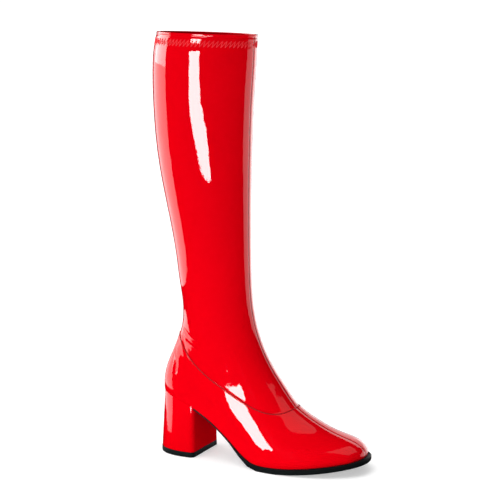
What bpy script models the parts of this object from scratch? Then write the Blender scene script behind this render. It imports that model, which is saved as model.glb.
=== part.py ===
# A go go boot for the right foot: a stretch patent upper on a thin black sole, with a block heel.
# The toe points along +X, the outer side along -Y and the leg along +Z. Lengths are in metres.
# The origin is on the floor, under the middle of the heel's rubber lift.

import math

import bmesh
import bpy
import numpy as np

# Last: the foot's own sizes
FOOT_LENGTH = 0.2340  # feather line, back of the heel to the tip of the toe, measured level
BALL_WIDTH = 0.087
SEAT_WIDTH = 0.058
SEAT_HEIGHT = 0.069  # floor to the feather line at the back of the heel
SEAT_BACK = 0.022  # from the middle of the lift back to the feather line
TOE_SPRING = 0.0105
SPRING_CURVE = 1.5  # power of the toe's rise
TREAD_START = 0.126  # back of the heel to the flat of the tread
TREAD_LENGTH = 0.021
ANKLE_HEIGHT = 0.109  # seat to the top of the hollow behind the ankle
INSTEP_HEIGHT = 0.132  # sole to the front of the ankle

# Leg
BOOT_HEIGHT = 0.458
CALF_DEPTH = 0.115
CALF_WIDTH = 0.090
LEG_AXIS = 0.047  # back of the heel to the middle of the calf

# Upper
WALL = 0.0018
LASTING_MARGIN = 0.009  # the turned-in edge that the sole and the heel are fixed to
SEAM_STEP = 0.0006  # the foot part lies on the leg part along the vamp seam
SEAM_SLOPE = 0.0006  # width of that step

# Sole, insole and heel
SOLE_THICKNESS = 0.0058
SHANK_THICKNESS = 0.0020
SHANK_SHARE = 0.45  # how much of the way from the breast to the tread stays as thin as that
SHANK_LEDGE = 0.0004  # how far the sole stands out past the upper at the shank
TREAD_LEDGE = 0.0022  # the same along the tread
TOE_LEDGE = 0.0042  # the same at the toe
SOLE_BEVEL = 0.0007
SOLE_INDENT = 0.0030  # the sole's first points on each side stay this far ahead of the heel
INSOLE_THICKNESS = 0.0022
INSOLE_CLEARANCE = 0.0006
LIFT_LENGTH = 0.050
LIFT_WIDTH = 0.0615
LIFT_THICKNESS = 0.0055
LIFT_PROUD = 0.0003  # the lift stands out past the block
HEEL_CORNER = 0.0050  # radius of the block's two front edges
HEEL_BACK_ROUND = 0.80  # share of the lift's length that its rounded back takes
HEEL_BACK_POWER = 2.2
GAP = 0.0003  # between pieces that meet

# Facets
RING_POINTS = 60
RINGS_BETWEEN = 2  # rings from one row of a table to the next
HEEL_STATIONS = 10  # along each side of the heel's rounded back
CORNER_STATIONS = 4  # around each of its front edges
HEEL_LEVELS = (0.0, 0.33, 0.67, 1.0)  # shares of the block's height
SHARP_ANGLE = 40.0  # degrees; edges over it stay sharp
HALF_RING = RING_POINTS // 2

# Shank: how the feather line falls from the seat to the tread.
# along: share of the way from the back of the heel to the tread; rise: share of the seat's rise
SHANK = (
    (0.000, 1.000),
    (0.103, 0.945),
    (0.317, 0.831),
    (0.381, 0.778),
    (0.532, 0.612),
    (0.651, 0.438),
    (0.770, 0.256),
    (0.889, 0.072),
    (1.000, 0.000),
)

# Feather line from above: fullness of each side, as shares of half the width there
# along, outer, inner
FEATHER = (
    (0.00, 1.36, 1.36),
    (0.12, 1.28, 1.28),
    (0.22, 1.10, 1.06),
    (0.36, 0.88, 0.70),
    (0.48, 0.92, 0.72),
    (0.60, 1.05, 0.88),
    (0.73, 1.10, 1.04),
    (0.87, 1.08, 1.17),
    (1.00, 0.98, 1.20),
)
FEATHER_POWER = 2.3  # roundness power of the feather line's two ends
SEAT_SHARE = 0.10  # share of the foot's length where the seat's width gives way
BALL_SHARE = 0.55  # and where the ball's width is reached
HEEL_POWER = 2.0  # roundness power of the back end of the upper's other rings
SAG_POWER = 4  # how flat a ring's dip is along its middle

# Rings of the foot, from the feather line up to the ankle.
# back, front: shares of the foot's length, from the back of the heel
# counter: height over the seat, share of the ankle's height
# vamp: height over the sole, share of the instep's height
# tread: share of the sole's own hollow that the ring follows; sag: its dip, share of the instep
# foot: share of the feather line's plan; heel, side, toe: half widths, shares of half the ball's
# tip: roundness power of the ring's front end
FOOT_COLUMNS = ("back", "counter", "front", "vamp", "tread", "sag", "foot", "heel", "side", "toe", "tip")
FOOT_RINGS = (
    (0.000, 0.000, 1.000, 0.000, 1.00, 0.000, 1.00, 0.70, 0.82, 1.00, 2.30),
    (-0.001, 0.083, 1.000, 0.032, 1.00, 0.000, 1.03, 0.70, 0.82, 1.00, 2.40),
    (0.003, 0.174, 0.985, 0.078, 0.90, 0.018, 0.87, 0.69, 0.80, 1.02, 2.50),
    (0.015, 0.270, 0.947, 0.131, 0.72, 0.050, 0.60, 0.68, 0.78, 0.98, 2.55),
    (0.035, 0.372, 0.862, 0.199, 0.48, 0.088, 0.33, 0.67, 0.76, 0.89, 2.55),
    (0.054, 0.468, 0.769, 0.290, 0.23, 0.112, 0.13, 0.66, 0.74, 0.84, 2.60),
    (0.075, 0.587, 0.664, 0.420, 0.00, 0.132, 0.00, 0.64, 0.71, 0.79, 2.60),
    (0.089, 0.706, 0.600, 0.566, 0.00, 0.100, 0.00, 0.63, 0.66, 0.71, 2.50),
    (0.094, 0.807, 0.542, 0.714, 0.00, 0.067, 0.00, 0.63, 0.65, 0.65, 2.35),
    (0.094, 0.899, 0.494, 0.848, 0.00, 0.038, 0.00, 0.64, 0.66, 0.63, 2.20),
    (0.090, 1.000, 0.455, 1.000, 0.00, 0.018, 0.00, 0.66, 0.68, 0.64, 2.10),
)
VAMP_SEAM_ROW = 6

# Rings of the leg, from above the ankle to the collar.
# rise: share of the leg from the ankle's back to the collar; fall: front below back, share of the depth
# back, front: from the leg's axis, shares of the calf's depth; side: share of the calf's width; tip as above
LEG_COLUMNS = ("rise", "fall", "back", "front", "side", "tip")
LEG_RINGS = (
    (0.062, 0.174, -0.248, 0.474, 0.344, 2.03),
    (0.160, 0.065, -0.276, 0.458, 0.370, 2.00),
    (0.315, 0.035, -0.350, 0.455, 0.405, 2.00),
    (0.472, 0.020, -0.430, 0.457, 0.445, 2.00),
    (0.626, 0.020, -0.478, 0.466, 0.480, 2.00),
    (0.776, 0.022, -0.496, 0.482, 0.496, 2.00),
    (0.900, 0.026, -0.493, 0.504, 0.500, 2.00),
    (0.964, 0.030, -0.472, 0.511, 0.488, 2.00),
    (1.000, 0.030, -0.452, 0.520, 0.476, 2.00),
)


# The smooth curve through a table's values: continuous in slope and in curvature
def spline(knots, values):
    knots = np.asarray(knots, float)
    values = np.asarray(values, float).reshape(len(knots), -1)
    steps = np.diff(knots)
    slopes = np.diff(values, axis=0) / steps[:, None]
    system = np.eye(len(knots))
    right = np.zeros_like(values)
    for i in range(1, len(knots) - 1):
        system[i, i - 1 : i + 2] = steps[i - 1], 2 * (steps[i - 1] + steps[i]), steps[i]
        right[i] = 6 * (slopes[i] - slopes[i - 1])
    bend = np.linalg.solve(system, right)

    def at(place):
        i = int(np.clip(np.searchsorted(knots, place) - 1, 0, len(steps) - 1))
        a = (knots[i + 1] - place) / steps[i]
        b = 1 - a
        curve = ((a**3 - a) * bend[i] + (b**3 - b) * bend[i + 1]) * steps[i] ** 2 / 6
        value = a * values[i] + b * values[i + 1] + curve
        return value if len(value) > 1 else float(value[0])

    return at


def mix(a, b, share):
    return a + (b - a) * share


def ease(share):
    share = min(max(share, 0.0), 1.0)
    return share * share * (3 - 2 * share)


BACK_X = -SEAT_BACK
TREAD_X = BACK_X + TREAD_START
TREAD_END = TREAD_X + TREAD_LENGTH
TOE_X = BACK_X + FOOT_LENGTH
BREAST_X = LIFT_LENGTH / 2
SEAT_RISE = SEAT_HEIGHT - SOLE_THICKNESS
shank_rise = spline([row[0] for row in SHANK], [row[1] for row in SHANK])
feather_sides = spline([row[0] for row in FEATHER], [row[1:] for row in FEATHER])


# Height of the sole's top, which depends on x alone
def sole_top(x):
    if x < TREAD_X:
        share = (x - BACK_X) / TREAD_START
        return SOLE_THICKNESS + SEAT_RISE * max(shank_rise(share), 0.0)
    spring = max(x - TREAD_END, 0.0) / (TOE_X - TREAD_END)
    return SOLE_THICKNESS + TOE_SPRING * spring**SPRING_CURVE


# Height of the sole's underside, flat on the floor along the tread
def sole_bottom(x):
    share = (x - BREAST_X) / (TREAD_X - BREAST_X)
    growth = ease((share - SHANK_SHARE) / (1 - SHANK_SHARE))
    return sole_top(x) - mix(SHANK_THICKNESS, SOLE_THICKNESS, growth)


def roundness(along, power):
    return max(1 - abs(2 * along - 1) ** power, 0.0) ** (1 / power)


# Half widths of the feather line at a share of its length: outer side, inner side
def feather_halves(along):
    width = mix(SEAT_WIDTH, BALL_WIDTH, ease((along - SEAT_SHARE) / (BALL_SHARE - SEAT_SHARE)))
    return feather_sides(along) * width / 2


# How far the feather line lies under the straight line between its two ends
def tread_hollow(along):
    x = BACK_X + along * FOOT_LENGTH
    return mix(sole_top(BACK_X), sole_top(TOE_X), along) - sole_top(x)


# The foot's and the leg's tables as rows of real sizes:
# back x, back z, front x, front z, tread, sag, foot, heel, side, toe, tip
def ring_rows():
    rows = []
    for cells in FOOT_RINGS:
        row = dict(zip(FOOT_COLUMNS, cells))
        front_x = BACK_X + row["front"] * FOOT_LENGTH
        rows.append((
            BACK_X + row["back"] * FOOT_LENGTH,
            SEAT_HEIGHT + row["counter"] * ANKLE_HEIGHT,
            front_x,
            sole_top(min(front_x, TOE_X)) + row["vamp"] * INSTEP_HEIGHT,
            row["tread"],
            row["sag"] * INSTEP_HEIGHT,
            row["foot"],
            row["heel"] * BALL_WIDTH / 2,
            row["side"] * BALL_WIDTH / 2,
            row["toe"] * BALL_WIDTH / 2,
            row["tip"],
        ))
    ankle_z = SEAT_HEIGHT + ANKLE_HEIGHT
    axis_x = BACK_X + LEG_AXIS
    for cells in LEG_RINGS:
        row = dict(zip(LEG_COLUMNS, cells))
        back_z = mix(ankle_z, BOOT_HEIGHT, row["rise"])
        half = row["side"] * CALF_WIDTH
        rows.append((
            axis_x + row["back"] * CALF_DEPTH,
            back_z,
            axis_x + row["front"] * CALF_DEPTH,
            back_z - row["fall"] * CALF_DEPTH,
            0.0,
            0.0,
            0.0,
            half,
            half,
            half,
            row["tip"],
        ))
    return rows


# Places of the rows along the upper: the mean way that their back and front ends have come
def row_places(rows):
    places = [0.0]
    for last, row in zip(rows, rows[1:]):
        back = math.hypot(row[0] - last[0], row[1] - last[1])
        front = math.hypot(row[2] - last[2], row[3] - last[3])
        places.append(places[-1] + (back + front) / 2)
    return places


# One closed ring of the upper's outer face, from the back round the outer side to the front and home
def ring(row):
    back_x, back_z, front_x, front_z, tread, sag, foot, heel, side, toe, tip = row
    points = []
    for k in range(RING_POINTS):
        angle = 2 * math.pi * k / RING_POINTS
        along = (1 - math.cos(angle)) / 2
        inner = k > HALF_RING
        sweep = mix(mix(heel, side, ease(2 * along)), toe, ease(2 * along - 1))
        fullness = mix(sweep, feather_halves(along)[int(inner)], foot)
        power = mix(HEEL_POWER, FEATHER_POWER, foot) if along < 0.5 else tip
        y = fullness * roundness(along, power)
        dip = sag * (1 - (2 * along - 1) ** SAG_POWER)
        z = mix(back_z, front_z, along) - tread * tread_hollow(along) - dip
        points.append((mix(back_x, front_x, along), y if inner else -y, z))
    return np.array(points)


# Unit vectors out of a ring, level, square to it in plan
def outward(points):
    run = np.roll(points, -1, axis=0) - np.roll(points, 1, axis=0)
    out = np.stack([run[:, 1], -run[:, 0], np.zeros(len(points))], axis=1)
    return out / np.linalg.norm(out, axis=1)[:, None]


# A ring moved inward by a distance and laid on the sole's top, raised by another
def on_sole(points, inset, raised):
    moved = points - outward(points) * inset
    moved[:, 2] = [sole_top(min(x, TOE_X)) + raised for x in moved[:, 0]]
    return moved


# Normals of a stack of rings, pointing out of the boot
def ring_normals(rings):
    around = np.roll(rings, -1, axis=1) - np.roll(rings, 1, axis=1)
    along = np.gradient(rings, axis=0)
    normals = np.cross(around, along)
    return normals / np.linalg.norm(normals, axis=2)[:, :, None]


def material(name, color, roughness_value, coat):
    finish = bpy.data.materials.new(name)
    finish.use_nodes = True
    shader = finish.node_tree.nodes["Principled BSDF"]
    shader.inputs["Base Color"].default_value = (*color, 1.0)
    shader.inputs["Roughness"].default_value = roughness_value
    shader.inputs["Coat Weight"].default_value = coat
    return finish


# A closed solid from a stack of equal loops; its ends are bridged to each other or capped across
def loops_solid(name, loops, finish, ends):
    mesh = bmesh.new()
    stack = [[mesh.verts.new(point) for point in loop] for loop in loops]
    count = len(stack[0])
    pairs = list(zip(stack, stack[1:]))
    if ends == "bridged":
        pairs.append((stack[-1], stack[0]))
    for low, high in pairs:
        for k in range(count):
            n = (k + 1) % count
            mesh.faces.new((low[k], low[n], high[n], high[k]))
    if ends != "bridged":
        for loop in (stack[0], stack[-1]):
            cap_across(mesh, loop, int(ends == "square"))
    bmesh.ops.recalc_face_normals(mesh, faces=mesh.faces)
    data = bpy.data.meshes.new(name)
    mesh.to_mesh(data)
    mesh.free()
    data.shade_smooth()
    data.set_sharp_from_angle(angle=math.radians(SHARP_ANGLE))
    data.materials.append(finish)
    solid = bpy.data.objects.new(name, data)
    bpy.context.collection.objects.link(solid)
    return solid


# Strips across a loop, from each point of its first side to the matching one of its second.
# A pointed loop starts at a single point, a square one at the first of two corners
def cap_across(mesh, loop, square):
    for k in range(len(loop) // 2):
        corners = [loop[k], loop[k + 1], loop[-k - 1 - square], loop[-k - square]]
        kept = [c for i, c in enumerate(corners) if c not in corners[:i]]
        mesh.faces.new(kept)


# Upper: leg, foot and the turned-in lasting margin, one wall open at the collar and underneath
def make_upper(finish):
    rows = ring_rows()
    places = row_places(rows)
    row_at = spline(places, rows)
    seam_place = places[VAMP_SEAM_ROW]
    outer, steps = [], []
    for start, end in zip(places, places[1:]):
        if start == seam_place:
            outer += [ring(row_at(start)), ring(row_at(start + SEAM_SLOPE))]
            steps += [SEAM_STEP, 0.0]
        else:
            outer.append(ring(row_at(start)))
            steps.append(SEAM_STEP if start < seam_place else 0.0)
        for i in range(1, RINGS_BETWEEN):
            outer.append(ring(row_at(mix(start, end, i / RINGS_BETWEEN))))
            steps.append(SEAM_STEP if start < seam_place else 0.0)
    outer.append(ring(row_at(places[-1])))
    steps.append(0.0)
    shape = np.array(outer)
    normals = ring_normals(shape)
    foot_count = 1 + VAMP_SEAM_ROW * RINGS_BETWEEN
    lining = list(range(1, foot_count)) + list(range(foot_count + RINGS_BETWEEN, len(shape), RINGS_BETWEEN))
    outer = [shape[i] + normals[i] * steps[i] for i in range(len(shape))]
    outer[0] = on_sole(outer[0], 0.0, GAP)
    inner = [shape[i] - normals[i] * WALL for i in lining]
    floor = on_sole(outer[0], WALL + SEAM_STEP, GAP + WALL)
    inner[-1] = outer[-1] - outward(outer[-1]) * WALL
    margin_under = on_sole(outer[0], LASTING_MARGIN, GAP)
    margin_over = on_sole(outer[0], LASTING_MARGIN, GAP + WALL)
    loops = [margin_under] + outer + inner[::-1] + [floor, margin_over]
    return loops_solid("upper", loops, finish, "bridged")


# Plan of the feather line, as the upper's lowest ring has it
def feather_plan():
    return on_sole(ring(ring_rows()[0]), 0.0, 0.0)


# How far the sole's edge stands out past the feather line
def sole_ledge(x):
    side = mix(SHANK_LEDGE, TREAD_LEDGE, ease((x - BREAST_X) / (TREAD_X - BREAST_X)))
    return mix(side, TOE_LEDGE, ease((x - TREAD_END) / (TOE_X - TREAD_END)))


# A loop cut off square behind a given x; first is the first of its points that stays on each side
def cut_square(loop, first, x):
    ends = []
    for near, far in ((first, first - 1), (RING_POINTS - first, RING_POINTS - first + 1)):
        inner, outer = loop[near], loop[far % RING_POINTS]
        ends.append(mix(outer, inner, (x - outer[0]) / (inner[0] - outer[0])))
    return np.vstack([ends[:1], loop[first : RING_POINTS - first + 1], ends[1:]])


# Outsole: from the heel's breast to the toe, thin in the shank, its edge proud of the upper
def make_outsole(finish):
    plan = feather_plan()
    out = outward(plan)
    edge = plan + out * np.array([sole_ledge(x) for x in plan[:, 0]])[:, None]
    first = int(np.argmax(plan[:, 0] > BREAST_X + SOLE_INDENT))
    levels = (
        (plan - out * LASTING_MARGIN, 0.0, 0.0),
        (plan, 0.0, 0.0),
        (edge - out * SOLE_BEVEL, 0.0, 0.0),
        (edge, 0.0, -SOLE_BEVEL),
        (edge, 1.0, SOLE_BEVEL),
        (edge - out * SOLE_BEVEL, 1.0, 0.0),
    )
    loops = []
    for level, low, shift in levels:
        loop = cut_square(level, first, BREAST_X + GAP)
        loop[:, 2] = [mix(sole_top(x), sole_bottom(x), low) + shift for x in loop[:, 0]]
        loops.append(loop)
    return loops_solid("outsole", loops, finish, "square")


def make_insole(finish):
    plan = feather_plan()
    low = GAP + WALL + GAP
    inset = WALL + SEAM_STEP + INSOLE_CLEARANCE
    loops = [on_sole(plan, inset, low), on_sole(plan, inset, low + INSOLE_THICKNESS)]
    return loops_solid("insole", loops, finish, "pointed")


# One side of the heel's plan from the back to the breast: a rounded back, a straight side, a round corner
def heel_side(half_at, back_x, sign):
    points = []
    for k in range(HEEL_STATIONS):
        along = 1 - math.cos(math.pi / 2 * k / HEEL_STATIONS)
        x = mix(back_x, BREAST_X - HEEL_CORNER, along)
        points.append((x, sign * half_at(x)))
    side = half_at(BREAST_X - HEEL_CORNER)
    for k in range(CORNER_STATIONS + 1):
        turn = math.pi / 2 * k / CORNER_STATIONS
        x = BREAST_X - HEEL_CORNER * (1 - math.sin(turn))
        points.append((x, sign * (side - HEEL_CORNER * (1 - math.cos(turn)))))
    return points


# The heel's plan at a share of the way from the lift, 0, to the seat, 1
def heel_plan(share, proud):
    lift_back = BREAST_X - LIFT_LENGTH - proud
    back_x = mix(lift_back, BACK_X + GAP, share)

    def half_at(x, inner):
        to_go = max(1 - (x - back_x) / (HEEL_BACK_ROUND * LIFT_LENGTH), 0.0)
        back_round = (1 - to_go**HEEL_BACK_POWER) ** (1 / HEEL_BACK_POWER)
        lift_half = (LIFT_WIDTH / 2 + proud) * back_round
        along = (x - back_x) / FOOT_LENGTH
        seat_half = feather_halves(along)[inner] * roundness(along, FEATHER_POWER)
        return mix(lift_half, seat_half, share)

    outer = heel_side(lambda x: half_at(x, 0), back_x, -1)
    inner = heel_side(lambda x: half_at(x, 1), back_x, 1)
    return outer + inner[1:][::-1]


def make_heel(block_finish, lift_finish):
    floor_z = LIFT_THICKNESS + GAP
    loops = []
    for share in HEEL_LEVELS:
        loop = []
        for x, y in heel_plan(share, 0.0):
            loop.append((x, y, mix(floor_z, sole_top(x), share)))
        loops.append(loop)
    block = loops_solid("heel_block", loops, block_finish, "pointed")
    plan = heel_plan(0.0, LIFT_PROUD)
    lift_loops = [[(x, y, z) for x, y in plan] for z in (0.0, LIFT_THICKNESS)]
    lift = loops_solid("heel_lift", lift_loops, lift_finish, "pointed")
    return block, lift


def main():
    for old in list(bpy.data.objects):
        bpy.data.objects.remove(old, do_unlink=True)
    red_patent = material("red patent leather", (0.78, 0.0, 0.008), 0.12, 1.0)
    heel_patent = material("patent heel cover", (0.78, 0.0, 0.008), 0.12, 1.0)
    sole_rubber = material("black sole rubber", (0.006, 0.008, 0.009), 0.45, 0.0)
    lift_rubber = material("black lift rubber", (0.006, 0.008, 0.009), 0.55, 0.0)
    lining = material("insole lining", (0.62, 0.55, 0.46), 0.75, 0.0)
    make_upper(red_patent)
    make_outsole(sole_rubber)
    make_insole(lining)
    make_heel(heel_patent, lift_rubber)


main()
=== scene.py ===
import math

import bmesh
import bpy
import numpy as np
from mathutils import Matrix, Vector


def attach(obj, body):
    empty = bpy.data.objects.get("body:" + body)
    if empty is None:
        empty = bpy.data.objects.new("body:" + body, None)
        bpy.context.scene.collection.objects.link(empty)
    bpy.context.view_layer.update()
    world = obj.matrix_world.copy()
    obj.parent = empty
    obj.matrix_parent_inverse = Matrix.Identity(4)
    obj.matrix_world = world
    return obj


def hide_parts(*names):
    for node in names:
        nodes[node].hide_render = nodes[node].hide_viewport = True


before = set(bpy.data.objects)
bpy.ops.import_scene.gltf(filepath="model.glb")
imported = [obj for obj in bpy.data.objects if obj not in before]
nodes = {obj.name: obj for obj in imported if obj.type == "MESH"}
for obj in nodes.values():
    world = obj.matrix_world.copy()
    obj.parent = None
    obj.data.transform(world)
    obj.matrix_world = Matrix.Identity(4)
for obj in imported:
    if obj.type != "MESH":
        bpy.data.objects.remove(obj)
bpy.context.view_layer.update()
mm = 0.001
print("frame loaded:", ", ".join(sorted(nodes)))


# selection helpers: every operator here works on what is selected
def pickOnly(*pieces):
    bpy.ops.object.select_all(action="DESELECT")
    for piece in pieces:
        piece.select_set(True)
    bpy.context.view_layer.objects.active = pieces[0]


def editMesh(piece, kind="VERT"):
    pickOnly(piece)
    bpy.ops.object.mode_set(mode="EDIT")
    bpy.ops.mesh.select_mode(type=kind)
    bpy.ops.mesh.select_all(action="DESELECT")
    return bmesh.from_edit_mesh(piece.data)


def leaveEdit():
    bpy.ops.object.mode_set(mode="OBJECT")


def applyModifier(piece, kind, **settings):
    pickOnly(piece)
    modifier = piece.modifiers.new(kind.lower(), kind)
    for name, value in settings.items():
        setattr(modifier, name, value)
    bpy.ops.object.modifier_apply(modifier=modifier.name)


# a copy of a frame node, its loose triangles welded and paired back into quads
def weldedCopy(nodeName, pieceName):
    piece = bpy.data.objects.new(pieceName, nodes[nodeName].data.copy())
    bpy.context.collection.objects.link(piece)
    piece.data.materials.clear()
    editMesh(piece)
    bpy.ops.mesh.select_all(action="SELECT")
    bpy.ops.mesh.remove_doubles(threshold=0.00002)
    bpy.ops.mesh.tris_convert_to_quads(face_threshold=math.radians(50), shape_threshold=math.radians(60))
    bpy.ops.mesh.mark_sharp(clear=True)
    leaveEdit()
    for layer in list(piece.data.uv_layers):
        piece.data.uv_layers.remove(layer)
    return piece


# one helper adds a shader node with its settings, its values and what feeds it
def addNode(tree, kind, settings=None, values=None, links=None):
    node = tree.nodes.new(kind)
    for name, value in (settings or {}).items():
        setattr(node, name, value)
    for name, value in (values or {}).items():
        node.inputs[name].default_value = value
    for name, source in (links or {}).items():
        tree.links.new(source, node.inputs[name])
    return node


def srgb(code):
    values = [int(code[i : i + 2], 16) / 255 for i in (1, 3, 5)]
    return tuple(v / 12.92 if v <= 0.04045 else ((v + 0.055) / 1.055) ** 2.4 for v in values) + (1.0,)


# a new material with its shader and the object's own coordinates
def newMaterial(name, roughness, gloss=0.5, ior=1.5):
    material = bpy.data.materials.new(name)
    material.use_nodes = True
    tree = material.node_tree
    shader = tree.nodes["Principled BSDF"]
    shader.inputs["Roughness"].default_value = roughness
    shader.inputs["IOR"].default_value = ior
    shader.inputs["Specular IOR Level"].default_value = gloss
    return material, tree, shader, addNode(tree, "ShaderNodeTexCoord").outputs["Object"]


patent = {
    "red": "#DA000E",
    "deepRed": "#D2000D",
    "driftSize": 45 * mm,  # how far apart the two reds lie
    "filmRoughness": 0.55,  # the pigmented film under the lacquer
    "coatRoughness": 0.02,
    "skinSize": 3.2 * mm,  # the slight orange peel of lacquer on a knit backing
    "skinDepth": 0.025 * mm,
    "waveSize": 26 * mm,  # slow waves where the knit is pulled
    "waveDepth": 0.30 * mm,
}


# Stretch patent leather: polyurethane lacquer cast on a knit. The eye sees deep flat red under a hard
# clear gloss, whose reflections wander a little where the knit pulls the film.
def makePatent(name, look):
    # film and lacquer share an index, so only the lacquer's own face shines
    material, tree, shader, place = newMaterial(name, look["filmRoughness"], 0.0)
    cloud = {"Scale": 1 / look["driftSize"], "Detail": 2.0}
    drift = addNode(tree, "ShaderNodeTexNoise", None, cloud, {"Vector": place})
    ends = {"A": srgb(look["red"]), "B": srgb(look["deepRed"])}
    colour = addNode(tree, "ShaderNodeMix", {"data_type": "RGBA"}, ends, {"Factor": drift.outputs["Fac"]})
    tree.links.new(colour.outputs["Result"], shader.inputs["Base Color"])
    slow = {"Scale": 1 / look["waveSize"], "Detail": 1.0}
    wave = addNode(tree, "ShaderNodeTexNoise", None, slow, {"Vector": place})
    depth = {"Distance": look["waveDepth"]}
    pull = addNode(tree, "ShaderNodeBump", None, depth, {"Height": wave.outputs["Fac"]})
    fine = {"Scale": 1 / look["skinSize"], "Detail": 2.0}
    skin = addNode(tree, "ShaderNodeTexNoise", None, fine, {"Vector": place})
    below = {"Height": skin.outputs["Fac"], "Normal": pull.outputs["Normal"]}
    peel = addNode(tree, "ShaderNodeBump", None, {"Distance": look["skinDepth"]}, below)
    tree.links.new(peel.outputs["Normal"], shader.inputs["Normal"])
    tree.links.new(peel.outputs["Normal"], shader.inputs["Coat Normal"])
    shader.inputs["Coat Weight"].default_value = 1.0
    shader.inputs["Coat Roughness"].default_value = look["coatRoughness"]
    shader.inputs["Coat IOR"].default_value = 1.5
    return material


# two tones that follow one pattern, and a fine relief that follows the same one or another
def toneAndRelief(tree, shader, tones, pattern, strength, depth, grain=None):
    ends = {"A": srgb(tones[0]), "B": srgb(tones[1])}
    colour = addNode(tree, "ShaderNodeMix", {"data_type": "RGBA"}, ends, {"Factor": pattern})
    tree.links.new(colour.outputs["Result"], shader.inputs["Base Color"])
    height = pattern if grain is None else grain
    values = {"Strength": strength, "Distance": depth}
    bump = addNode(tree, "ShaderNodeBump", None, values, {"Height": height})
    tree.links.new(bump.outputs["Normal"], shader.inputs["Normal"])


# Brushed knit lining: dark and matt, a brown-red painted darker as the shade inside the shaft, where
# light from the collar barely reaches; finely ribbed
def makeLining(name):
    material, tree, shader, place = newMaterial(name, 0.9, 0.2)
    ribPitch = 1.2 * mm
    bands = {"Scale": 0.5 / ribPitch / math.pi, "Distortion": 1.5, "Detail": 2.0}
    ribs = addNode(tree, "ShaderNodeTexWave", {"bands_direction": "X"}, bands, {"Vector": place})
    toneAndRelief(tree, shader, ("#2A1214", "#3B1A1C"), ribs.outputs["Fac"], 0.6, 0.15 * mm)
    return material


# Moulded rubber: near black and satin, with a faint cool sheen and fine moulding grain
def makeRubber(name, roughness):
    material, tree, shader, place = newMaterial(name, roughness, 0.1, 1.52)
    clouds = {"Scale": 1 / (9 * mm), "Detail": 4.0}
    grains = {"Scale": 1 / (0.8 * mm), "Detail": 3.0}
    cloud = addNode(tree, "ShaderNodeTexNoise", None, clouds, {"Vector": place}).outputs["Fac"]
    grain = addNode(tree, "ShaderNodeTexNoise", None, grains, {"Vector": place}).outputs["Fac"]
    toneAndRelief(tree, shader, ("#070C0D", "#0E1516"), cloud, 0.5, 0.04 * mm, grain)
    return material


# Insole sock: thin tan synthetic suede, a soft nap without shine
def makeSock(name):
    material, tree, shader, place = newMaterial(name, 0.85, 0.2)
    naps = {"Scale": 1 / (2.5 * mm), "Detail": 5.0}
    nap = addNode(tree, "ShaderNodeTexNoise", None, naps, {"Vector": place}).outputs["Fac"]
    toneAndRelief(tree, shader, ("#B89F7E", "#CDB896"), nap, 0.5, 0.1 * mm)
    return material


# Twisted polyester sewing thread, dyed: satin, with the twist as a fine mottle. The two darker threads
# are also darkened as painted seam shade
def makeThread(name, light, dark):
    material, tree, shader, place = newMaterial(name, 0.6, 0.15)
    twists = {"Scale": 1 / (0.5 * mm), "Detail": 2.0}
    twist = addNode(tree, "ShaderNodeTexNoise", None, twists, {"Vector": place}).outputs["Fac"]
    toneAndRelief(tree, shader, (light, dark), twist, 0.5, 0.05 * mm)
    return material


redPatent = makePatent("red stretch patent leather, lacquered", patent)
# the heel's cover is glued to a hard block, so it lies flatter
glued = dict(patent, waveSize=40 * mm, waveDepth=0.15 * mm)
heelPatent = makePatent("red patent heel cover, lacquered", glued)
shadedKnitLining = makeLining("knitted lining, brushed, darkened as painted shade")
soleRubber = makeRubber("black sole rubber, moulded", 0.45)
liftRubber = makeRubber("black top piece rubber, moulded", 0.55)
sockSuede = makeSock("tan insole sock, synthetic suede")
redThread = makeThread("red sewing thread, twisted", "#FF4650", "#D0141E")
# the deep red is darker than the thread alone, as painted shade along the vamp's lapped seam; it also
# colours the cut edge line
vampThreadAndShade = makeThread("deep red sewing thread and painted seam shade, twisted", "#A80611", "#7C040D")
# the dark red stands partly for the seam thread and partly for painted shade at the bottom of the centre
# seams' grooves
seamThreadAndShade = makeThread("dark red seam thread and painted groove shade, twisted", "#5A0410", "#3A0209")
print("materials made")

# the upper: the frame's own shell, refined, with its seams, hem and creases
upper = {
    "seamWidth": 0.9 * mm,  # half width of the groove along the front and back seams
    "seamDepth": 0.7 * mm,
    "seamTop": 0.452,  # the groove stops short of the rim
    "rimRound": 0.55 * mm,
    "hemCuts": (0.9, 1.8, 2.7, 3.7, 5.0, 16.0),  # rings below the collar's edge, in mm, for its lip
    "hemTurned": 16.1 * mm,  # how far down inside the patent is turned in
    "onMiddle": 0.05 * mm,  # what counts as lying on the boot's middle plane
    "bySeam": 1.5 * mm,  # what counts as lying along the front or back seam
    "fineness": 2,  # subdivisions
}
# the collar's top edge: its height at the back, how much it falls forwards and where the back is
collarTop, collarFall, collarBack = 0.458, 0.0308, -0.027


# how far below the collar's slanted top edge a place is
def belowCollar(x, z):
    return collarTop - collarFall * (x - collarBack) - z


shell = weldedCopy("upper", "upperShell")
shell.data.materials.append(redPatent)
shell.data.materials.append(shadedKnitLining)

# the inner wall is all that joins up smoothly with one face of it, behind the shin
faces = editMesh(shell, "FACE").faces
liningSpot = Vector((0.083, 0, 0.30))
inward = [face for face in faces if face.normal.x < -0.8]
min(inward, key=lambda face: (face.calc_center_median() - liningSpot).length).select = True
bpy.ops.mesh.faces_select_linked_flat(sharpness=math.radians(38))
shell.active_material_index = 1
bpy.ops.object.material_slot_assign()
leaveEdit()
print("lining faces:", sum(p.material_index for p in shell.data.polygons), "of", len(shell.data.polygons))


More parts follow.
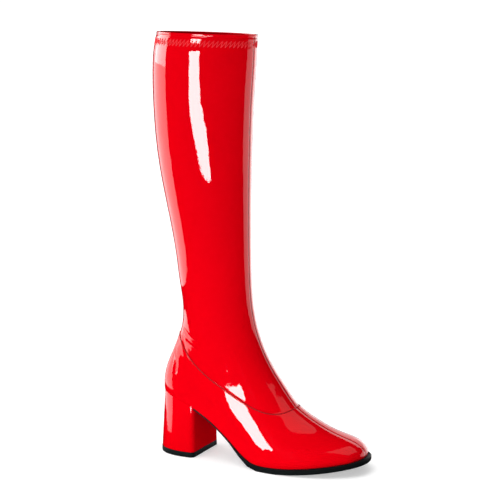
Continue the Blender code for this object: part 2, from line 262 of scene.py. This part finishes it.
# the ordered line of sharp edges that passes nearest a place
def sharpLine(piece, near, turn=25):
    mesh = editMesh(piece, "EDGE")
    paired = [e for e in mesh.edges if len(e.link_faces) == 2]
    sharp = {e for e in paired if e.calc_face_angle(0.0) > math.radians(turn)}
    start = min((v for e in sharp for v in e.verts), key=lambda vert: (vert.co - Vector(near)).length)
    line, vert, edge = [start.co.copy()], start, None
    while True:
        edge = next((e for e in vert.link_edges if e in sharp), None)
        if edge is None:
            break
        sharp.discard(edge)
        vert = edge.other_vert(vert)
        line.append(vert.co.copy())
    leaveEdit()
    return line


vampFront = (0.1337, 0, 0.0620)  # where the seam crosses the instep's ridge
vampLine = sharpLine(shell, vampFront)
print("vamp seam:", len(vampLine), "points")

# more rings under the collar's edge, so that its lip can be rolled
for drop in upper["hemCuts"]:
    editMesh(shell)
    bpy.ops.mesh.select_all(action="SELECT")
    height = belowCollar(0, 0) - drop * mm
    bpy.ops.mesh.bisect(plane_co=(0, 0, height), plane_no=(collarFall, 0, 1))
    leaveEdit()

# the hem is turned in, so the patent also shows inside, down to the zigzag's foot
for face in shell.data.polygons:
    if max(belowCollar(*shell.data.vertices[v].co.xz) for v in face.vertices) < upper["hemTurned"]:
        face.material_index = 0

# front and back seams: the middle edge of each side is split in three and its middle line pressed in
mesh = editMesh(shell, "EDGE")
for edge in mesh.edges:
    edge.select = all(abs(v.co.y) < upper["onMiddle"] for v in edge.verts)
bmesh.update_edit_mesh(shell.data)
bpy.ops.mesh.bevel(offset=upper["seamWidth"], segments=2, profile=0.5, affect="EDGES")
leaveEdit()

mesh = editMesh(shell)
outerFaces = {f for f in mesh.faces if f.material_index == 0}
for vert in mesh.verts:
    onOuter = all(f in outerFaces for f in vert.link_faces)
    inGroove = vert.normal.z > -0.6 and vert.co.z < upper["seamTop"]
    if abs(vert.co.y) < upper["onMiddle"] and onOuter and inGroove:
        vert.co -= vert.normal * upper["seamDepth"]
bmesh.update_edit_mesh(shell.data)
leaveEdit()

# the vamp's lapped edge and the turned-in margin stay sharp, the rim is rounded
mesh = editMesh(shell, "EDGE")
crease = mesh.edges.layers.float.get("crease_edge") or mesh.edges.layers.float.new("crease_edge")
for edge in mesh.edges:
    if len(edge.link_faces) == 2:
        turn = edge.calc_face_angle(0.0)
        high = min(belowCollar(v.co.x, v.co.z) for v in edge.verts) < 0.5 * mm
        alongSeam = all(abs(v.co.y) < upper["bySeam"] for v in edge.verts)
        if turn > math.radians(60) and high:
            edge.select = True
        elif turn > math.radians(30) and not high and not alongSeam:
            edge[crease] = 0.9
bmesh.update_edit_mesh(shell.data)
bpy.ops.mesh.bevel(offset=upper["rimRound"], segments=2, profile=0.5, affect="EDGES")
leaveEdit()
applyModifier(shell, "SUBSURF", levels=upper["fineness"], render_levels=upper["fineness"])
print("upper shell refined:", len(shell.data.polygons), "faces")

# the line round the forefoot along which the upper bulges over the sole, in mm
forefoot = [(100, -45, 11), (118, -46.5, 11.5), (140, -46.5, 14), (162, -43, 15.5)]
forefoot += [(186, -34.5, 16.5), (203, -20, 16.5)]
# creases at the back of the ankle: the line of each in mm, its half width and its depth (up if negative)
creases = (
    ([(6, -13, 138), (16, -20, 130), (25, -24, 128), (32, -27, 123), (40, -29, 119)], 1.9, 0.40),
    ([(4, -11, 135), (12, -17, 129), (20, -22, 126), (28, -25, 121)], 2.6, -0.42),
    ([(9, -16, 125), (18, -21, 122), (23, -23, 121), (29, -26, 119), (36, -28, 116)], 1.8, 0.35),
    ([(1, -10, 129), (3, -13, 123), (5, -16, 116), (8, -18, 110)], 1.8, -0.35),
    ([(4, -12, 132), (6, -14, 124), (8, -16, 117), (13, -20, 108), (19, -23, 102)], 1.7, 0.42),
    ([(11, -18, 117), (17, -21, 109)], 1.8, -0.28),
    ([(-2, -10, 126), (-6, -9, 117), (-6, -11, 111), (-3, -16, 101), (-2, -20, 91)], 2.6, 0.42),
    ([(0, -17, 104), (3, -20, 97), (2, -23, 86)], 1.8, -0.25),
    (forefoot, 5, -0.8),
)
# the soft hollow under the ankle bones, which both walls follow
hollow = ([(28, -28, 104), (57, -30, 95), (85, -30, 84)], 27, 0.4)
# the hem: how far below the edge each ring of relief runs, its half width and how far it goes in, in mm
hemRelief = ((3.2, 1.0, 0.50), (10.1, 4.5, 0.35))


def distanceTo(points, path):
    best = np.full(len(points), 1e9)
    for a, b in zip(path, path[1:]):
        a, b = np.array(a, float) * mm, np.array(b, float) * mm
        share = np.clip(((points - a) @ (b - a)) / ((b - a) @ (b - a)), 0, 1)
        best = np.minimum(best, np.linalg.norm(points - a - share[:, None] * (b - a), axis=1))
    return best


# how far a line of relief reaches in at each point, on the outer side and more weakly on the inner one
def relief(points, path, width, depth):
    total = np.zeros(len(points))
    for side, share in ((1, 1.0), (-1, 0.7)):
        away = distanceTo(points, [(x, y * side, z) for x, y, z in path])
        total += share * depth * mm * np.exp(-((away / (width * mm)) ** 2))
    return total


data = shell.data
count = len(data.vertices)
places = np.zeros(count * 3)
normals = np.zeros(count * 3)
data.vertices.foreach_get("co", places)
data.vertex_normals.foreach_get("vector", normals)
places, normals = places.reshape(-1, 3), normals.reshape(-1, 3)
moves = np.zeros(count)
for line in creases:
    moves -= relief(places, *line)
for drop, width, depth in hemRelief:
    off = belowCollar(places[:, 0], places[:, 2]) / mm - drop
    moves -= depth * mm * np.exp(-((off / width) ** 2))
outside = np.zeros(count, bool)
for face in data.polygons:
    if face.material_index == 0:
        outside[list(face.vertices)] = True
places += normals * (moves * outside - relief(places, *hollow) * np.where(outside, 1, -1))[:, None]
data.vertices.foreach_set("co", places.ravel())
data.update()
pickOnly(shell)
bpy.ops.object.shade_smooth_by_angle(angle=math.radians(40))
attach(shell, "root")
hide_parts("upper")
print("upper shell done")

# stitching: one stitch is modelled as a short rounded length of thread and copied
stitching = {
    "thread": 0.32 * mm,  # half thickness, a little coarse so that it shows at this size
    "zigzagTop": 6.4 * mm,  # below the collar's edge
    "zigzagFoot": 13.9 * mm,
    "zigzagPitch": 4.5 * mm,
    "vampPitch": 3.0 * mm,
    "vampStitch": 2.1 * mm,
    "vampInset": 0.8 * mm,  # from the lapped edge, on the foot part
    "edgeLine": 0.33 * mm,  # half thickness of the dark cut edge along the vamp, which is also a line of painted seam shade
    "edgeStep": 1.5 * mm,
    "seamLine": 0.30 * mm,  # half thickness of the thread at the bottom of the centre seams, dark as painted shade in the groove
    "seamHead": 2 * mm,  # how far below the collar's edge that thread starts
    "frontFoot": 22 * mm,  # where the front and the back seam end above the floor
    "backFoot": 74 * mm,
    "backReach": 20 * mm,  # nothing ahead of this belongs to the back seam
}
# the middle of the leg from back to front, down to where the ankle leans forwards
legCentre, ankleTop, ankleLean = 0.029, 0.15, 0.5


def makeStitch(name, length, thickness, material):
    bpy.ops.object.select_all(action="DESELECT")
    bpy.ops.mesh.primitive_uv_sphere_add(segments=6, ring_count=6, radius=thickness)
    stitch = bpy.context.object
    stitch.name = name
    for end in (1, -1):
        mesh = editMesh(stitch)
        for vert in mesh.verts:
            vert.select = vert.co.z * end > thickness * 0.1
        mesh.select_flush_mode()
        bmesh.update_edit_mesh(stitch.data)
        bpy.ops.transform.translate(value=(0, 0, end * (length / 2 - thickness)))
        leaveEdit()
    bpy.ops.object.shade_smooth()
    stitch.data.materials.append(material)
    return stitch


# copies of the stitch from each start to each end, joined into one piece
def sewLine(stitch, pieceName, ends):
    copies = []
    for start, end in ends:
        along = (end - start).normalized()
        turn = along.to_track_quat("Z", "Y").to_matrix().to_4x4()
        copy = bpy.data.objects.new(pieceName, stitch.data.copy())
        bpy.context.collection.objects.link(copy)
        copy.data.transform(Matrix.Translation((start + end) / 2) @ turn)
        copies.append(copy)
    pickOnly(*copies)
    bpy.ops.object.join()
    bpy.data.objects.remove(stitch)
    piece = copies[0]
    piece.name = pieceName
    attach(piece, "root")


# points evenly spaced along a closed line
def spaced(line, pitch):
    line = [Vector(p) for p in line]
    lengths = [(b - a).length for a, b in zip(line, line[1:])]
    number = round(sum(lengths) / pitch)
    step = sum(lengths) / number
    points, walked, nextAt = [], 0.0, 0.0
    for a, b, length in zip(line, line[1:], lengths):
        while nextAt <= walked + length and len(points) < number and length > 0:
            points.append(a.lerp(b, (nextAt - walked) / length))
            nextAt += step
        walked += length
    return points


bpy.context.view_layer.update()


# the ring on the shell's outside at one drop below the collar, found by looking in from all round
def collarRing(drop, steps=360):
    ring = []
    for k in range(steps + 1):
        turn = 2 * math.pi * k / steps
        way = Vector((math.cos(turn), math.sin(turn), 0))
        x = legCentre
        for _ in range(3):
            start = Vector((legCentre, 0, belowCollar(x, 0) - drop)) + way * 0.2
            _, spot, normal, _ = shell.ray_cast(start, -way)
            x = spot.x
        ring.append(spot + normal * stitching["thread"] * 0.2)
    return ring


topPoints = spaced(collarRing(stitching["zigzagTop"]), stitching["zigzagPitch"] / 2)
footPoints = spaced(collarRing(stitching["zigzagFoot"]), stitching["zigzagPitch"] / 2)
pairs = min(len(topPoints), len(footPoints)) // 2 * 2
zigzag = [topPoints[k] if k % 2 else footPoints[k] for k in range(pairs)]
zigzagEnds = [(zigzag[k], zigzag[(k + 1) % pairs]) for k in range(pairs)]
legLength = (zigzag[0] - zigzag[1]).length
hemStitch = makeStitch("hemStitch", legLength, stitching["thread"], redThread)
sewLine(hemStitch, "hemZigzag", zigzagEnds)
print("hem stitches:", pairs)

# the seam's line goes in with the ankle's hollow
for point in vampLine:
    _, _, normal, _ = shell.closest_point_on_mesh(point)
    point -= normal * float(relief(np.array([point]), *hollow)[0])

# the vamp's stitches lie on the foot part, just under its cut edge
vampEnds = []
vampPoints = spaced(vampLine, stitching["vampPitch"])
for k, point in enumerate(vampPoints):
    ahead = (vampPoints[(k + 1) % len(vampPoints)] - vampPoints[k - 1]).normalized()
    _, _, normal, _ = shell.closest_point_on_mesh(point)
    side = normal.cross(ahead).normalized()
    side *= -1 if side.z > 0 else 1
    _, spot, normal, _ = shell.closest_point_on_mesh(point + side * stitching["vampInset"])
    half = ahead * stitching["vampStitch"] / 2
    lift = normal * stitching["thread"] * 0.3
    vampEnds.append((spot + lift - half, spot + lift + half))
vampStitch = makeStitch("vampStitch", stitching["vampStitch"], stitching["thread"], vampThreadAndShade)
sewLine(vampStitch, "vampStitching", vampEnds)
print("vamp stitches:", len(vampEnds))


# a thin line of thread, cut edge or painted seam shade along points, as a mesh tube
def lineAlong(pieceName, points, thickness, material, closed=False):
    curve = bpy.data.curves.new(pieceName, "CURVE")
    curve.dimensions = "3D"
    curve.bevel_depth = thickness
    curve.bevel_resolution = 1
    curve.use_fill_caps = not closed
    spline = curve.splines.new("POLY")
    spline.points.add(len(points) - 1)
    for target, point in zip(spline.points, points):
        target.co = (*point, 1)
    spline.use_cyclic_u = closed
    piece = bpy.data.objects.new(pieceName, curve)
    bpy.context.collection.objects.link(piece)
    pickOnly(piece)
    bpy.ops.object.convert(target="MESH")
    piece = bpy.context.object
    bpy.ops.object.shade_smooth()
    piece.data.materials.append(material)
    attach(piece, "root")


# a dark tube along the vamp's lap: partly its raw cut edge, partly painted shade in the step's crevice
edgePoints = []
for point in spaced(vampLine, stitching["edgeStep"]):
    _, spot, normal, _ = shell.closest_point_on_mesh(point)
    edgePoints.append(spot + normal * stitching["edgeLine"] * 0.1)
lineAlong("vampCutEdgeAndShade", edgePoints, stitching["edgeLine"], vampThreadAndShade, closed=True)

middle = [v for v in data.vertices if abs(v.co.y) < 0.02 * mm and outside[v.index]]
middle = [v for v in middle if belowCollar(v.co.x, v.co.z) > stitching["seamHead"]]
middle.sort(key=lambda vert: -vert.co.z)


# the ankle's own middle at a height, which parts the front line from the back one
def legMiddle(z):
    return legCentre + max(ankleTop - z, 0) * ankleLean


# facing forwards or back, so that the hem's inner faces are left out
front = [v for v in middle if v.normal.x > 0 and v.co.z > stitching["frontFoot"]]
back = [v for v in middle if v.normal.x < 0 and v.co.z > stitching["backFoot"]]
frontLine = [v.co.copy() for v in front if v.co.x > legMiddle(v.co.z)]
backLine = [v.co.copy() for v in back if v.co.x < min(legMiddle(v.co.z), stitching["backReach"])]
# dark thread at the bottom of the front and back grooves: partly real thread, partly painted groove shade
lineAlong("frontSeamThreadAndShade", frontLine, stitching["seamLine"], seamThreadAndShade)
lineAlong("backSeamThreadAndShade", backLine, stitching["seamLine"], seamThreadAndShade)
print("seam lines done:", len(frontLine), "and", len(backLine), "points")


# heel, top piece and sole: the frame's solids with their edges broken
def finishSolid(nodeName, pieceName, material, edge):
    piece = weldedCopy(nodeName, pieceName)
    piece.data.materials.append(material)
    corner = math.radians(50)
    applyModifier(piece, "BEVEL", width=edge, segments=3, limit_method="ANGLE", angle_limit=corner)
    pickOnly(piece)
    bpy.ops.object.shade_smooth_by_angle(angle=math.radians(35))
    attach(piece, "root")
    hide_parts(nodeName)


brokenEdge = 0.5 * mm
finishSolid("heel_block", "heelCover", heelPatent, brokenEdge)
finishSolid("heel_lift", "heelTopPiece", liftRubber, brokenEdge)
finishSolid("outsole", "soleUnit", soleRubber, brokenEdge)
nodes["insole"].data.materials.clear()
nodes["insole"].data.materials.append(sockSuede)
print("heel and sole done")

# floor, light and camera
studio = {
    "floorRadius": 60.0,
    "paper": "#FAFAFA",
    "paperGlow": 0.15,  # the sweep is lit from below as well, which keeps the boot's shadow faint
    "skyBright": 1.0,
    "skyDark": 0.12,  # towards the right, where the studio has no light
    "sun": 1.5,
    "sunSoftness": 50.0,  # degrees across
    "sunWay": (0.25, 0.45, -1.0),
    "softboxGlow": 20.0,
    "exposure": 0.10,
}

bpy.ops.object.select_all(action="DESELECT")
bpy.ops.mesh.primitive_circle_add(vertices=96, radius=studio["floorRadius"], fill_type="NGON")
floor = bpy.context.object
floor.name = "studioFloor"
paper, tree, shader, _ = newMaterial("white paper sweep, matt", 0.9, 0.0)
shader.inputs["Base Color"].default_value = srgb(studio["paper"])
shader.inputs["Emission Color"].default_value = srgb(studio["paper"])
shader.inputs["Emission Strength"].default_value = studio["paperGlow"]
floor.data.materials.append(paper)
floor.visible_glossy = False

# an even white sky that falls off to the right of the boot
scene = bpy.context.scene
world = bpy.data.worlds.new("studio")
scene.world = world
world.use_nodes = True
tree = world.node_tree
way = addNode(tree, "ShaderNodeTexCoord").outputs["Generated"]
sideways = addNode(tree, "ShaderNodeSeparateXYZ", links={"Vector": way}).outputs["X"]
fall = {"From Min": -0.1, "From Max": 0.5, "To Min": studio["skyBright"], "To Max": studio["skyDark"]}
fading = addNode(tree, "ShaderNodeMapRange", {"clamp": True}, fall, {"Value": sideways})
tree.links.new(fading.outputs["Result"], tree.nodes["Background"].inputs["Strength"])
tree.nodes["Background"].inputs["Color"].default_value = (1, 1, 1, 1)
world.cycles_visibility.glossy = False
scene.view_settings.view_transform = "Standard"
scene.view_settings.exposure = studio["exposure"]


# a light panel that looks at a point and only shows in the gloss, or only lights
def addPanel(name, place, target, width, height, brightness, gloss=True):
    lamp = bpy.data.lights.new(name, "AREA")
    lamp.shape = "RECTANGLE"
    lamp.size = width
    lamp.size_y = height
    lamp.energy = brightness * math.pi * width * height
    panel = bpy.data.objects.new(name, lamp)
    bpy.context.collection.objects.link(panel)
    aim = (Vector(target) - Vector(place)).to_track_quat("-Z", "Y").to_matrix().to_4x4()
    panel.matrix_world = Matrix.Translation(place) @ aim
    panel.visible_camera = False
    panel.visible_glossy = gloss
    panel.visible_diffuse = not gloss


daylight = bpy.data.lights.new("daylight", "SUN")
daylight.energy = studio["sun"]
daylight.angle = math.radians(studio["sunSoftness"])
daylight.use_shadow = False  # so that no shadow falls on the white floor but the soft one of the sky
sun = bpy.data.objects.new("daylight", daylight)
bpy.context.collection.objects.link(sun)
sun.rotation_euler = Vector(studio["sunWay"]).to_track_quat("-Z", "Y").to_euler()
sun.visible_glossy = False
# each panel's place, what it faces, its width, height and brightness, and whether it shows in the gloss
panels = {
    "left wall": ((-1.5, 0.20, 0.52), (0, 0.20, 0.52), 1.60, 1.58, 2.3, True),
    "left window": ((-1.51, 0.00, 0.87), (0, 0.00, 0.87), 1.20, 0.90, 3.5, True),
    "right wall": ((0.75, 1.29, 0.06), (0.04, 0, 0.06), 2.1, 0.70, 1.2, True),
    "right window": ((0.15, 1.52, 0.35), (0.04, 0, 0.35), 0.9, 1.30, 1.1, True),
    "overhead": ((1.45, 0.30, 1.9), (1.45, 0.30, 0), 1.9, 2.4, 0.55, True),
    "low fill": ((0.06, -0.33, 0.01), (0.06, 0, 0.05), 0.42, 0.06, 5.0, False),
}
for name, panel in panels.items():
    addPanel(name, *panel)

# three sheets before the boot that are only seen in the gloss: a tall softbox for the streak down the
# leg, a small reflector for the patch on the foot, and a black flag that hides the softbox from the foot
sheets = {
    "softboxSheet": {
        "distance": 0.60,
        "corners": (
            ((-0.185, 0.50), (-0.175, 0.42), (-0.160, 0.33), (-0.140, 0.295), (-0.090, 0.26)),
            ((-0.050, 0.22), (0.010, 0.19), (0.100, 0.175), (0.170, 0.172), (0.235, 0.178)),
            ((0.230, 0.19), (0.200, 0.22), (0.180, 0.26), (0.120, 0.29), (0.060, 0.32)),
            ((0.030, 0.36), (0.020, 0.42), (0.020, 0.50)),
        ),
    },
    "reflectorSheet": {
        "distance": 0.13,
        "corners": (
            ((0.027, 0.086), (0.022, 0.080), (0.024, 0.066), (0.022, 0.058)),
            ((0.028, 0.050), (0.040, 0.043), (0.054, 0.042), (0.062, 0.050)),
            ((0.075, 0.058), (0.083, 0.060), (0.084, 0.070), (0.070, 0.088)),
            ((0.061, 0.091), (0.050, 0.085), (0.038, 0.085)),
        ),
    },
    "flagSheet": {
        "distance": 0.25,
        "corners": (((-0.060, 0.235), (-0.060, 0.070), (0.200, 0.060), (0.200, 0.235)),),
    },
}
glow, tree, shader, _ = newMaterial("studio softbox, frosted", 1.0, 0.0)
shader.inputs["Base Color"].default_value = (0, 0, 0, 1)
shader.inputs["Emission Color"].default_value = (1, 1, 1, 1)
shader.inputs["Emission Strength"].default_value = studio["softboxGlow"]
felt, tree, shader, _ = newMaterial("studio flag, black felt", 1.0, 0.0)
shader.inputs["Base Color"].default_value = (0, 0, 0, 1)
for sheetName, spec in sheets.items():
    corners = [corner for row in spec["corners"] for corner in row]
    bpy.ops.object.select_all(action="DESELECT")
    bpy.ops.mesh.primitive_circle_add(vertices=len(corners), radius=1.0, fill_type="NGON")
    sheet = bpy.context.object
    sheet.name = sheetName
    for vert, (x, z) in zip(sheet.data.vertices, corners):
        vert.co = (x, -spec["distance"], z)
    sheet.data.materials.append(felt if sheetName == "flagSheet" else glow)
    sheet.visible_camera = False
    sheet.visible_diffuse = False
    sheet.visible_shadow = False

# the photograph's own view: 25 degrees round from the outer side, 9 down
view = {
    "place": (0.7506, -1.4335, 0.4800),
    "way": (-0.41898, 0.89392, -0.15923),
    "sensor": 36.0,
    "focal": 1507 / 500,  # in widths of the sensor
    "rise": 0.006,
}
camera = bpy.data.objects.new("camera", bpy.data.cameras.new("camera"))
bpy.context.collection.objects.link(camera)
camera.location = view["place"]
camera.rotation_euler = Vector(view["way"]).to_track_quat("-Z", "Y").to_euler()
camera.data.sensor_width = view["sensor"]
camera.data.lens = view["sensor"] * view["focal"]
camera.data.shift_y = view["rise"]
scene.camera = camera
print("studio set")
